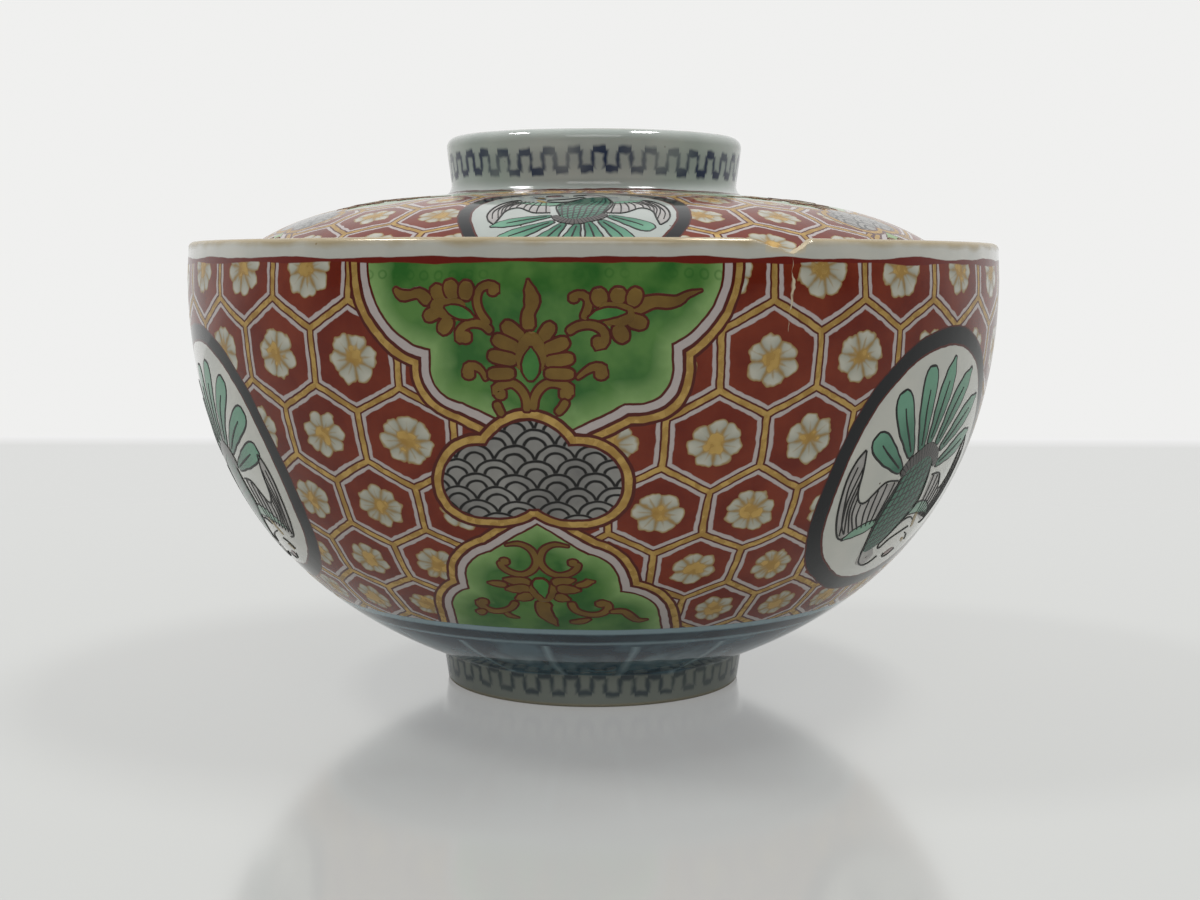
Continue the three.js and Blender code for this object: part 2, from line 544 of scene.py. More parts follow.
def diaper(ground, plan, gold):      # hexagon cells, each with a flower
    spacing = 360 / plan["cells"]
    first, slope, bend = plan["rows"]
    fromRow = ground.s - plan["rowArc"]
    rows = (fromRow * bend + slope) * fromRow + first
    cellTurn = (ground.drawTurn - plan["cellTurn"]) / spacing
    cellX, cellY, cellU, cellV = hexCells(cellTurn, rows * rowStep)
    width = ground.radius * radians(spacing)
    sideways = abs(cellX)
    toEdge = (0.5 - most(sideways, sideways * 0.5 + abs(cellY) * rowStep)) * width

    number = ground.start.node("ShaderNodeCombineXYZ", {}, {0: cellU % plan["cells"], 1: cellV})
    chance = ground.start.node("ShaderNodeTexWhiteNoise", {"noise_dimensions": "3D"}, {"Vector": number},
                               "Color")
    chances = ground.start.node("ShaderNodeSeparateXYZ", {}, {0: chance})
    petals = round(chances * blossom["morePetals"] + blossom["petals"])
    halfTurn = (cellX.math("ARCTAN2", cellY, cellX) + chances.also("Y") * blossom["spin"]) * petals * 0.5
    fold = abs(halfTurn.math("SINE", halfTurn))
    out = reach(cellX, cellY) * width
    lobes = fold ** blossom["roundness"] * blossom["lobe"]
    lobes = lobes + (ground.grain - 0.5) * blossom["ragged"] + blossom["full"]
    toPetal = out - width * (chances.also("Z") * blossom["moreRadius"] + blossom["radius"]) * lobes
    apart = out * 2 / petals
    ray = fold * apart + out * blossom["rayTaper"]
    streak = abs(halfTurn.math("COSINE", halfTurn)) * apart + out * blossom["streakTaper"]

    red = blend(within(ground.wash, 0.5, 0.3), paints["ironRed"], paints["ironRedThin"])
    toBand = toEdge + (ground.grain - 0.5) * 0.4
    cells = blend(within(toBand, drawing["cellBand"], 0.12), red, paints["mauve"])
    cells = blend(within(toEdge, drawing["cellLine"]), cells, paints["line"])
    cells = blend(within(toEdge, drawing["goldLine"]), cells, gold)
    flower = blend(within(ray, blossom["shade"], 1) * 0.8, paints["petal"], paints["petalShade"])
    flower = blend(beyond(toPetal, -blossom["edge"], 0.34), flower, paints["petalEdge"])
    toStreak = least(ray, streak) + (ground.grain - 0.5) * 0.6
    flower = blend(within(toStreak, blossom["streak"], 0.4), flower, paints["petalEdge"])
    toHeart = out + (ground.grain - 0.5) * blossom["heartRagged"]
    flower = blend(within(toHeart, blossom["heart"], 0.5), flower, gold)
    return blend(within(toPetal, 0), cells, flower)


panelForms = {                       # shoulders: middle, half, level, radius; tips: middle, tip, slope, half
    "upper": ((1, 12, 79.5, 10.1), (2.2, 10.4, 67.2, 4.3)), "upperTip": (1.2, 57.6, 0.53, 10.9),
    "lower": ((-0.5, 4.8, 36.6, 5.1), (0.2, 8.7, 29.6, 5.2)), "lowerTip": (-0.4, 46, 0.73, 6),
    "cloudMiddle": -0.6, "lobeApart": 5.3, "lobeHalf": 1, "lobeLevel": 52.2, "lobeRadius": 5,
    "topLobe": (-0.3, 54.5, 0.8), "paleRim": 1.4, "bubbleStep": 1.9, "bubbleLevel": 78.4, "bubbleRadius": 0.5,
}


def shoulder(x, s, way, middle, half, level, radius):    # a round-ended band that runs on up or down
    return reach(most(abs(x - middle) - half, 0), most((level - s) * way, 0)) - radius


def spike(x, s, way, middle, tip, slope, half):          # a pointed end, no wider than the half on each side
    aside = abs(x - middle)
    flank = (aside * slope - (s - tip) * way) * (1 / (1 + slope * slope) ** 0.5)
    return most(flank, aside - half)


def seaWaves(x, y, wash):            # overlapping fans, each row in front of the one above
    radius, rise, line = drawing["waveRadius"], drawing["waveRise"], drawing["waveLine"]
    rowAt = y / rise
    row = rowAt.math("FLOOR", rowAt)
    fan = blend(within(wash, 0.5, 0.4), paints["wave"], paints["waveShade"])
    waves = fan
    for back in (1, 0, -1):
        level = row + back
        offset = (level % 2) * radius
        middle = round((x - offset) * (0.5 / radius)) * (2 * radius) + offset
        out = reach(x - middle, (y - level * rise) * 1.12)
        arcs = least(abs(out - radius), abs(out - radius * 0.55))
        drawn = blend(within(arcs, line, 0.12), fan, paints["ink"])
        waves = blend(within(out, radius + line), waves, drawn)
    return waves


def panels(ground, plan, under, gold):   # green panels above and below a cloud of waves
    scale = plan["panelScale"]
    x = ground.across(plan["panelTurn"], 3) * (1 / scale)
    s = (ground.s - plan["panelArc"]) * (1 / scale) + drawing["panelMiddle"]
    forms = panelForms
    upper = [shoulder(x, s, 1, *form) for form in forms["upper"]] + [spike(x, s, 1, *forms["upperTip"])]
    lower = [shoulder(x, s, -1, *form) for form in forms["lower"]] + [spike(x, s, -1, *forms["lowerTip"])]
    toPanel = least(*upper, *lower) * scale
    pooled = blend(within(ground.wash, 0.5, 0.24), paints["greenDeep"], paints["green"])
    thin = beyond(toPanel + (ground.wash - 0.5) * 6, -forms["paleRim"], 2.6)
    green = blend(thin, pooled, paints["greenPale"])
    bubble = reach((x + 60) % forms["bubbleStep"] - forms["bubbleStep"] / 2, s - forms["bubbleLevel"])
    bubbles = within(abs(bubble - forms["bubbleRadius"]), 0.13, 0.2) * within(ground.drift, 0.56, 0.2)
    green = blend(bubbles * 0.55, green, paints["greenDeep"])

    borders = ((3, paints["line"]), (2.6, gold), (1.75, paints["line"]), (1.28, paints["mauve"]),
               (0.32, paints["line"]), (0, green))
    for edge, paint in borders:
        under = blend(within(toPanel, edge * scale ** 0.5), under, paint)

    cloudX = x - forms["cloudMiddle"]
    topX, topLevel, topMore = forms["topLobe"]
    lobes = reach(most(abs(abs(cloudX) - forms["lobeApart"]) - forms["lobeHalf"], 0), s - forms["lobeLevel"])
    topLobe = reach(cloudX - topX, s - topLevel) - topMore
    toCloud = (least(lobes, topLobe) - forms["lobeRadius"]) * scale
    waves = seaWaves(x * scale, s * scale, ground.wash)
    for edge, paint in ((1.75, paints["line"]), (1.3, gold), (0.4, paints["line"]), (0, waves)):
        under = blend(within(toCloud, edge * scale ** 0.5), under, paint)
    return under


def medallions(ground, plan, under, glaze):
    scale = abs(plan["discScale"])
    ring = drawing["discRing"] * scale
    x = ground.across(plan["discTurn"], 3)
    toDisc = reach(x, ground.s - plan["discArc"]) - drawing["discRadius"] * scale
    brushed = toDisc + (ground.drift - 0.5) * 0.5
    for edge, paint in ((0.2, paints["line"]), (0, paints["ringBlack"]), (-ring, paints["line"]),
                        (-ring - 0.3, glaze)):
        under = blend(within(brushed, edge), under, paint)
    return under


def fret(ground, periods, low, high, bar, leg):      # a square wave drawn round a ring, bleeding a little
    step = ground.drawTurn * (periods / 360) % 1
    toLeg = (0.5 - abs(step * 2 % 1 - 0.5)) * ground.radius * (pi / periods) - leg / 2
    legs = most(toLeg, abs(ground.s - (low + high) / 2) - (high - low) / 2) + 0.12
    bars = abs(ground.s - low - (step < 0.5) * (high - low)) - bar / 2
    strength = within(ground.drift, 0.75, 0.6)
    return within(least(legs, bars) + (ground.grain - 0.5) * 0.7, 0.05, 0.5) * strength


glassiness = 1.33                    # index of the glaze and the enamels
firing = {
    "gloss": 0.07, "warmDull": 0.55, "wornDull": 0.5, "giltFrom": 0.1, "giltGain": 2.6,
    "coatFrom": 0.32, "coatGain": 5, "coatRoughness": 0.04, "coatIndex": 1.6, "ripple": 0.00005,
}


def rising(value, begin, gain):
    return value.math("MULTIPLY_ADD", value, gain, -begin * gain, clamp=True)


def fired(ground, shown, worn):      # warm enamels are duller than glaze, and gold is a little metallic
    parts = ground.start.node("ShaderNodeSeparateColor", {}, {0: shown})
    warmth = parts - parts.also(2)
    gilt = least(parts, parts.also(1)) - parts.also(2)
    white = least(parts, parts.also(1), parts.also(2))
    roughness = warmth.math("MULTIPLY_ADD", warmth, firing["warmDull"], firing["gloss"], clamp=True)
    ripple = ground.start.node("ShaderNodeBump", {}, {"Height": ground.wash, "Distance": firing["ripple"]})
    closeMaterial(ground.start, {
        "Base Color": shown, "IOR": glassiness, "Normal": ripple,
        "Roughness": roughness + worn * firing["wornDull"],
        "Metallic": rising(gilt, firing["giltFrom"], firing["giltGain"]) * (1 - worn),
        "Coat Weight": rising(white, firing["coatFrom"], firing["coatGain"]) * (1 - worn),
        "Coat Roughness": firing["coatRoughness"], "Coat IOR": firing["coatIndex"]})


def painting(ground, plan, glaze):
    gold = blend(within(ground.grain, 0.5, 0.3), paints["gold"], paints["goldPale"])
    painted = panels(ground, plan, diaper(ground, plan, gold), gold)
    painted = medallions(ground, plan, painted, glaze)
    inBand = within(ground.steady, plan["topArc"]) * beyond(ground.steady, plan["bottomArc"])
    return blend(inBand, glaze, painted)


def plainGlaze(ground, name):        # milky white with a few kiln specks
    glaze = blend(within(ground.wash, 0.5, 0.5), paints[name + "Shade"], paints[name])
    return blend(beyond(ground.grain, 0.81, 0.03), glaze, paints["speck"])


bowlBands = {
    "rimLine": 80.1, "rimHalf": 0.36, "stainFrom": 82.1, "outsideEnd": 84.4, "paleLines": (24.9, 21.2),
    "darkBand": 22.9, "darkHalf": 1.2, "bandTop": 25.6, "lappets": 18, "lappetTurn": -10.2, "ribTop": 20,
    "heartAside": 3.6, "heartLevel": 13.5, "heartRadius": 1.4, "bareMiddle": -1.2, "bareHalf": 2.1,
    "recessEnd": -3.6, "footTop": 5.2, "fretPeriods": 35, "fretLow": 2.4, "fretHigh": 4.8,
    "crackTurn": 24.2, "crackTop": 80.8, "crackEnd": 71.6, "crackLean": 0.08,
}


def bowlGlaze(plan, bands):
    material, start = newMaterial("bowlGlaze")
    ground = Ground(start)
    glaze = plainGlaze(ground, "glaze")
    shown = painting(ground, plan, glaze)
    toRim = abs(ground.steady - bands["rimLine"]) + (ground.wash - 0.5) * 0.5 + (ground.drift - 0.5) * 0.8
    shown = blend(within(toRim, bands["rimHalf"], 0.12), shown, paints["rimRed"])

    # washed blue band with lappets, down to the foot
    apart = ground.across(bands["lappetTurn"], bands["lappets"])
    wash = blend(within(ground.wash + ground.drift, 1, 0.22), paints["cobalt"], paints["cobaltWash"])
    rib = within(abs(apart), 0.35, 0.9) * within(ground.s, bands["ribTop"])
    dark = within(abs(ground.s - bands["darkBand"]), bands["darkHalf"], 0.8)
    wash = blend(dark * 0.75, wash, paints["cobaltDeep"])
    upperLine, lowerLine = (abs(ground.steady - level) for level in bands["paleLines"])
    pale = most(rib, within(upperLine, 0.7, 0.5), within(lowerLine, 0.35, 0.6) * 0.8)
    toHeart = reach(abs(apart) - bands["heartAside"], (ground.s - bands["heartLevel"]) * 0.6)
    heart = within(toHeart, bands["heartRadius"], 2) * beyond(ground.wash, 0.48, 0.2)
    blue = blend(most(pale, heart * 0.7), wash, paints["cobaltPale"])
    shown = blend(within(ground.steady, bands["bandTop"]), shown, blue)

    # foot ring with its fret, its glaze painted darker as painted shade under the bowl's belly
    shadedFootGlaze = blend(fret(ground, bands["fretPeriods"], bands["fretLow"], bands["fretHigh"], 0.75, 0.8),
                      paints["shadedFootGlaze"], paints["fretGrey"])
    shown = blend(within(ground.s, bands["footTop"], 0.5), shown, shadedFootGlaze)
    bare = within(abs(ground.arc - bands["bareMiddle"]), bands["bareHalf"], 0.3)
    shown = blend(bare, shown, paints["bareClay"])
    shown = blend(within(ground.arc, bands["recessEnd"], 0.3), shown, glaze)

    # stained lip, the break in it and the crack that runs down from the break
    inside = beyond(ground.arc, bands["outsideEnd"], 0.8)
    stained = beyond(ground.arc + (ground.wash - 0.5) * 2, bands["stainFrom"], 0.9) * (1 - inside)
    shown = blend(stained * 0.8, shown, paints["stain"])
    shown = blend(inside, shown, glaze)
    fall = bands["crackTop"] - ground.arc
    crackTurn = bands["crackTurn"] - fall * bands["crackLean"]
    crackTurn = crackTurn + (ground.grain - 0.5) * 1.2 + (ground.drift - 0.5)
    toCrack = abs(ground.turn - crackTurn) - (ground.grain - 0.5) * 0.5
    length = bands["crackTop"] - bands["crackEnd"]
    crack = within(toCrack, 0.05, 0.1) * within(abs(fall - length / 2), length / 2, 0.5)
    broken = start.node("ShaderNodeAttribute", {"attribute_name": "broken"}, out="Fac")
    worn = most(crack, broken)
    shown = blend(worn, shown, paints["brokenClay"])
    fired(ground, shown, most(worn, bare))
    print("mixed bowlGlaze from", len(start.tree.nodes), "nodes")
    return material


lidBands = {
    "rimLine": 2.6, "ringLine": 38.6, "ringFoot": 38.9, "fretPeriods": 38, "fretLow": 41.6, "fretHigh": 44.3,
    "wornFrom": 48, "wornTo": 49.6, "underEnd": -0.4, "insideFrom": 50.4, "lineHalf": 0.25, "haze": 0.16,
}


def lidGlaze(plan, bands):
    material, start = newMaterial("lidGlaze")
    ground = Ground(start)
    glaze = plainGlaze(ground, "lidGlaze")
    shown = painting(ground, plan, glaze)
    for level in (bands["rimLine"], bands["ringLine"]):
        toLine = abs(ground.s - level) + (ground.wash - 0.5) * 0.6
        shown = blend(within(toLine, bands["lineHalf"], 0.1), shown, paints["line"])
    low, high = bands["fretLow"], bands["fretHigh"]
    drawn = fret(ground, bands["fretPeriods"], low, high, 1.1, 0.8)
    haze = within(abs(ground.s - (high + low) / 2), (high - low) / 2, 1.6) * bands["haze"]
    ringGlaze = blend(most(drawn, haze), glaze, paints["fretBlue"])
    shown = blend(beyond(ground.s, bands["ringFoot"], 0.3), shown, ringGlaze)
    worn = beyond(ground.arc + (ground.wash - 0.5) * 1.6, bands["wornFrom"], 0.8) * within(
        ground.arc, bands["wornTo"], 0.8)
    shown = blend(worn * 0.25, shown, paints["stain"])
    plain = most(within(ground.arc, bands["underEnd"], 0.3), beyond(ground.arc, bands["insideFrom"], 0.4))
    shown = blend(plain, shown, glaze)
    fired(ground, shown, worn * 0.15)
    print("mixed lidGlaze from", len(start.tree.nodes), "nodes")
    return material


# Enamel laid on with a brush: each stroke is a strip bent along its line, sunk into the glaze at its edges

enamels = {                          # paint, its second tone, roughness, metallic, and its outline
    "gold": (colour(132, 104, 50), colour(110, 83, 40), 0.36, 0.15, "scrollLine"),
    "gilt": (colour(132, 104, 50), colour(110, 83, 40), 0.36, 0.15, None),
    "scrollLine": (colour(96, 36, 25), colour(80, 29, 21), 0.5, 0, None),
    "leaf": (colour(84, 142, 70), colour(50, 112, 50), 0.1, 0, "scrollLine"),
    "teal": (colour(112, 164, 138), colour(58, 112, 90), 0.08, 0, "ink"),
    "tealPale": (colour(142, 178, 156), colour(108, 156, 132), 0.08, 0, "ink"),
    "wash": (colour(186, 183, 179), colour(154, 150, 148), 0.1, 0, None),
    "ruff": (colour(98, 94, 92), colour(70, 64, 62), 0.12, 0, None),
    "plumage": (colour(76, 128, 106), colour(52, 96, 80), 0.1, 0, None),
    "crest": (colour(128, 92, 100), colour(110, 80, 72), 0.1, 0, None),
    "straw": (colour(168, 148, 96), colour(146, 120, 74), 0.1, 0, None),
    "ink": (colour(28, 27, 26), colour(38, 36, 35), 0.4, 0, None),
}
brush = {                            # millimetres, apart from the shoulder's share of the half width
    "step": 0.5, "outline": 0.3, "layer": 0.016, "base": 0.03, "crown": 0.006, "sink": 0.05,
    "shoulder": 0.9, "capDegrees": (0, 32, 60), "patchColumns": 13, "patchWidth": 8,
}
markings = {
    "cloudScale": 260, "pool": 5, "poolSoft": 8, "netLong": 1.25, "netAcross": 0.95, "netLine": 0.14,
    "ruffStep": 0.62, "ruffLine": 0.09,
}


def enamel(name):
    main, second, roughness, metallic = enamels[name][:4]
    ink = enamels["ink"][0]
    material, start = newMaterial(name + "Enamel")
    place = start.node("ShaderNodeTexCoord", out="Object")
    stroke = start.node("ShaderNodeUVMap", {"uv_map": "stroke"})
    lengthways = start.node("ShaderNodeSeparateXYZ", {}, {0: stroke})
    sideways = lengthways.also("Y")
    cloudy = start.node("ShaderNodeTexNoise", {}, {
        "Vector": place, "Scale": markings["cloudScale"], "Detail": 4}, "Fac")
    shown = blend(within(cloudy, 0.5, 0.4), main, second)
    if name == "teal":               # pools darkly at the root of each feather
        pool = within(lengthways + (cloudy - 0.5) * 6, markings["pool"], markings["poolSoft"])
        shown = blend(pool, main, second)
    if name == "plumage":            # a net of feather lines
        slanted = lengthways + sideways * 0.5
        for way, step in ((slanted, markings["netLong"]), (sideways, markings["netAcross"])):
            shown = blend(within(abs(way % step - step / 2), markings["netLine"], 0.1), shown, ink)
    if name == "ruff":
        step = markings["ruffStep"]
        shown = blend(within(abs(lengthways % step - step / 2), markings["ruffLine"], 0.08), shown, ink)
    rough = cloudy.math("MULTIPLY_ADD", cloudy, 0.12, roughness - 0.06, clamp=True)
    closeMaterial(start, {"Base Color": shown, "Roughness": rough, "Metallic": metallic, "IOR": glassiness})
    return material


def softLine(points):                # a smooth curve through the points
    points = [Vector(point) for point in points]
    run = []
    for i in range(len(points) - 1):
        start, end = points[i], points[i + 1]
        leave = start + (end - points[max(i - 1, 0)]) / 6
        arrive = end - (points[min(i + 2, len(points) - 1)] - start) / 6
        run += geometry.interpolate_bezier(start, leave, arrive, end, 9)[:-1]
    return Run(run + [points[-1]])


def widthAt(widths, share):
    place = min(max(share, 0), 1) * (len(widths) - 1)
    low = min(int(place), max(len(widths) - 2, 0))
    ease = (1 - cos(pi * (place - low))) / 2
    return widths[low] + (widths[min(low + 1, len(widths) - 1)] - widths[low]) * ease


def layGrid(bm, rows, columns, paint, spot):     # spot gives each corner's place and its stroke measures
    strokeLayer = bm.loops.layers.uv["stroke"]
    sheet = bmesh.ops.create_grid(bm, x_segments=rows - 1, y_segments=columns - 1, size=1)["verts"]
    flat = set()
    for vert in sheet:
        row = round((vert.co.x + 1) / 2 * (rows - 1))
        column = round((vert.co.y + 1) / 2 * (columns - 1))
        if 0 < column < columns - 1:
            flat.add(vert)
        vert.co, measures = spot(row, column)
        for loop in vert.link_loops:
            loop[strokeLayer].uv = measures
    for face in {face for vert in sheet for face in vert.link_faces}:
        face.material_index = list(enamels).index(paint)
        face.smooth = True
    for vert in flat:                # the top stays flat beside its sunk edges
        for edge in vert.link_edges:
            onRim = [sum(other not in flat for other in face.verts) for face in edge.link_faces]
            if edge.other_vert(vert) in flat and sorted(onRim) == [0, 2]:
                edge.smooth = False


def layStrip(bm, place, line, widths, lift, paint, spread):
    total = line.lengths[-1]
    capStart, capEnd = widths[0] + spread, widths[-1] + spread
    caps = [1 - cos(radians(degree)) for degree in brush["capDegrees"]]
    begin, finish = capStart - spread, total + spread - capEnd
    pieces = max(2, round((finish - begin) / brush["step"]))
    stops = [capStart * cap - spread for cap in caps]
    stops += [begin + (finish - begin) * i / pieces for i in range(pieces + 1)]
    stops += [total + spread - capEnd * cap for cap in caps[::-1]]
    asides = (-1, -brush["shoulder"], 0, brush["shoulder"], 1)
    heights = (-brush["sink"], lift, lift + brush["crown"], lift, -brush["sink"])

    def spot(row, column):
        stop = stops[row]
        middle, right = line.at(stop)
        half = widthAt(widths, stop / total) + spread
        toEnd = min(max(min(stop + spread, total + spread - stop) / half, 0), 1)
        half *= (toEnd * (2 - toEnd)) ** 0.5
        at = middle - right * (half * asides[column])
        height = heights[column] if half > 1e-6 else -brush["sink"]
        return place(at.x, at.y, height), (stop, half * asides[column])

    layGrid(bm, len(stops), len(asides), paint, spot)


def layStroke(bm, place, stroke):
    layer, paint, widths, points = stroke
    line = softLine(points)
    lift = brush["base"] + brush["layer"] * layer
    outline = enamels[paint][4]
    if outline:
        layStrip(bm, place, line, widths, lift, outline, brush["outline"])
        lift += brush["layer"] / 2
    layStrip(bm, place, line, widths, lift, paint, 0)


def layPatch(bm, place, patch):      # fills the space between two lines, the left and the right of its way
    layer, paint, left, right = patch
    sides = softLine(right), softLine(left)
    lift = brush["base"] + brush["layer"] * layer
    rows = round(sides[0].lengths[-1] / brush["step"])
    columns = brush["patchColumns"]

    def spot(row, column):
        share, across = row / (rows - 1), column / (columns - 1)
        start, end = (side.at(share * side.lengths[-1])[0] for side in sides)
        at = start.lerp(end, across)
        atEdge = column in (0, columns - 1) or row in (0, rows - 1)
        measures = share * sides[0].lengths[-1], across * brush["patchWidth"]
        return place(at.x, at.y, -brush["sink"] if atEdge else lift), measures

    layGrid(bm, rows, columns, paint, spot)


def petal(half):
    return 0.9 * half, half, half, 0.85 * half


def plume(half):
    return 0.35 * half, 0.62 * half, 0.9 * half, half, 0.85 * half


def quill(half):
    return 0.3 * half, 0.55 * half, 0.85 * half, half, 0.8 * half, 0.12 * half


def leaf(half):
    return 0.9 * half, half, 0.8 * half, 0.2 * half


def bulb(x, y, half):                # the round end of a curl
    return 0, "gold", (half,), [(x - half, y), (x + half, y)]


# Strokes are (layer, paint, half widths along the stroke, points), laid back to front, in millimetres

upperScrolls = [
    # stems and curls
    (0, "gold", (0.5, 0.5, 0.5, 0.5, 0.6, 0.7),
     [(-0.7, 61.7), (-0.7, 63.1), (-1.2, 64.3), (-2.3, 65.2), (-3.6, 65), (-4.4, 64.4), (-4.2, 63.8)]),
    bulb(-3.9, 63.9, 0.75), bulb(4.1, 64, 0.8), bulb(-7.8, 66.4, 0.8), bulb(8.4, 66.5, 0.8),
    bulb(-4.6, 76.4, 0.6), bulb(-8.1, 70.8, 0.8), bulb(8.1, 70.3, 0.75), bulb(5.2, 75.6, 0.6),
    (0, "gold", (0.5, 0.5, 0.5, 0.5, 0.6, 0.75),
     [(0.1, 61.9), (0.3, 63.4), (1, 64.6), (2.1, 65.3), (3.6, 65.2), (4.6, 64.5), (4.4, 63.9)]),
    (1, "gold", (0.5, 0.45), [(-4.5, 62.9), (-4, 61.7), (-3.6, 61.2)]),
    (1, "gold", (0.5, 0.45), [(4.2, 63.2), (3.6, 62.2), (2.9, 61.5)]),
    (0, "gold", (0.25, 0.32, 0.45, 0.7, 0.8),
     [(-5.6, 65.6), (-6.1, 66.7), (-7.1, 67.3), (-8, 66.8), (-7.9, 66.2)]),
    (0, "gold", (0.2, 0.32, 0.45, 0.7, 0.8),
     [(5.5, 65.9), (6.6, 66.8), (7.7, 67.3), (8.7, 66.8), (8.5, 66.2)]),
    (0, "gold", (0.48, 0.45, 0.45, 0.55),
     [(-5.1, 72.3), (-6.2, 73.8), (-6.6, 75.3), (-6.2, 76.6), (-5.1, 77.1), (-4.2, 76.7), (-4.3, 76.2)]),
    (0, "gold", (0.48, 0.48, 0.48, 0.7),
     [(-4.8, 71.4), (-5.8, 72.3), (-7.3, 72.5), (-8.5, 71.9), (-8.9, 70.9), (-8.3, 70.4)]),
    (0, "gold", (0.48, 0.5, 0.45, 0.45), [(6.3, 73), (6.9, 74.4), (6.9, 75.4), (6.1, 76), (4.9, 75.7)]),
    (0, "gold", (0.48, 0.5, 0.55, 0.6),
     [(4.4, 71.4), (5.6, 72.2), (7.3, 72.4), (8.7, 71.7), (8.9, 70.5), (8.2, 69.8), (7.8, 70.3)]),
    # middle flower
    (1, "gold", (0.95, 0.82, 0.7, 0.95, 0.65, 0.06),
     [(-0.2, 71.7), (-0.3, 73.5), (0.1, 74.5), (0.2, 75.5), (-0.1, 76.6), (-0.3, 77.7)]),
    (0, "gilt", (2, 3.4, 3.4, 2.8), [(0, 71), (0, 66.4)]),
    (1, "gold", petal(0.95), [(-0.8, 70.3), (-3.4, 72.6)]),
    (1, "gold", petal(0.85), [(1.2, 70.4), (2.7, 72.6)]),
    (2, "gold", petal(0.9), [(-1.4, 69.3), (-4.7, 70.8)]),
    (2, "gold", petal(0.88), [(1.4, 69.1), (4.6, 70.5)]),
    (3, "gold", petal(0.85), [(-1.7, 68), (-5.3, 68.7)]),
    (3, "gold", petal(0.8), [(1.6, 67.8), (5.2, 68.4)]),
    (4, "gold", petal(0.8), [(-2, 66.5), (-5.4, 66.3)]),
    (4, "gold", petal(0.75), [(1.6, 66.5), (5.2, 66.4)]),
    (5, "gilt", (1.2, 1.8, 2.1, 2), [(0.1, 71.6), (0, 69), (-0.1, 66.4)]),
    (6, "leaf", (0.06, 0.85, 1.15, 1, 0.5), [(0, 69.6), (-0.1, 65.6)]),
    # left flower
    (1, "gold", (0.9, 0.75, 0.5, 0.65, 0.3),
     [(-12.6, 74.9), (-14, 76), (-15.3, 75.8), (-16.5, 75.8), (-17.4, 76.6)]),
    (0, "gilt", (1.2, 2, 2, 1.2), [(-12.2, 74.8), (-10.3, 74.4), (-8, 75)]),
    (1, "gold", petal(1), [(-10.8, 75.1), (-12.2, 77)]),
    (2, "gold", petal(1), [(-9.4, 75.3), (-10.2, 77.7)]),
    (3, "gold", petal(0.95), [(-8.1, 75.2), (-7.8, 77.6)]),
    (2, "gold", petal(0.82), [(-11.2, 74.1), (-13.4, 73)]),
    (3, "gold", petal(0.9), [(-9.9, 73.2), (-11.3, 71.2)]),
    (5, "gilt", (0.8, 1.3, 1.3, 0.9), [(-12.5, 74.9), (-10.6, 74.2), (-8, 74.7)]),
    (6, "leaf", (0.08, 0.65, 0.78, 0.6, 0.08), [(-10.6, 74.4), (-7, 73.2)]),
    # right flower
    (1, "gold", (0.9, 0.9, 0.75, 0.75, 0.55, 0.3, 0.04),
     [(12.1, 74.1), (13.8, 74.9), (15.1, 75.2), (16.5, 75.1), (17.8, 75.3), (18.9, 76), (20.6, 76.5)]),
    (0, "gilt", (1.2, 2, 2.1, 1.4), [(8.2, 74.4), (10.2, 73.9), (12.4, 73.7)]),
    (1, "gold", petal(1.05), [(8.5, 74.5), (8, 76.8)]),
    (2, "gold", petal(1.08), [(10.4, 74.8), (10.6, 76.9)]),
    (3, "gold", petal(0.95), [(12, 74.6), (12.9, 76.8)]),
    (2, "gold", petal(0.92), [(11.5, 73.1), (14, 72.4)]),
    (3, "gold", petal(1), [(10.2, 72.4), (11.4, 70.3)]),
    (5, "gilt", (0.9, 1.4, 1.5, 1), [(8.2, 74.6), (10.3, 73.6), (12.5, 74)]),
    (6, "leaf", (0.08, 0.6, 0.68, 0.5, 0.08), [(7, 73.2), (9.3, 73.8), (11.4, 73.9)]),
]
lyre = [(-4.6, 42.9), (-2.9, 43.2), (-1.5, 42.4), (-0.9, 41), (-0.95, 39.7), (-1.8, 38.4), (-3.1, 37.8),
        (-4.6, 38.3), (-5.5, 39.3), (-5.5, 40.1)]
lyreWidths = (0.1, 0.3, 0.4, 0.42, 0.42, 0.42, 0.42, 0.45)
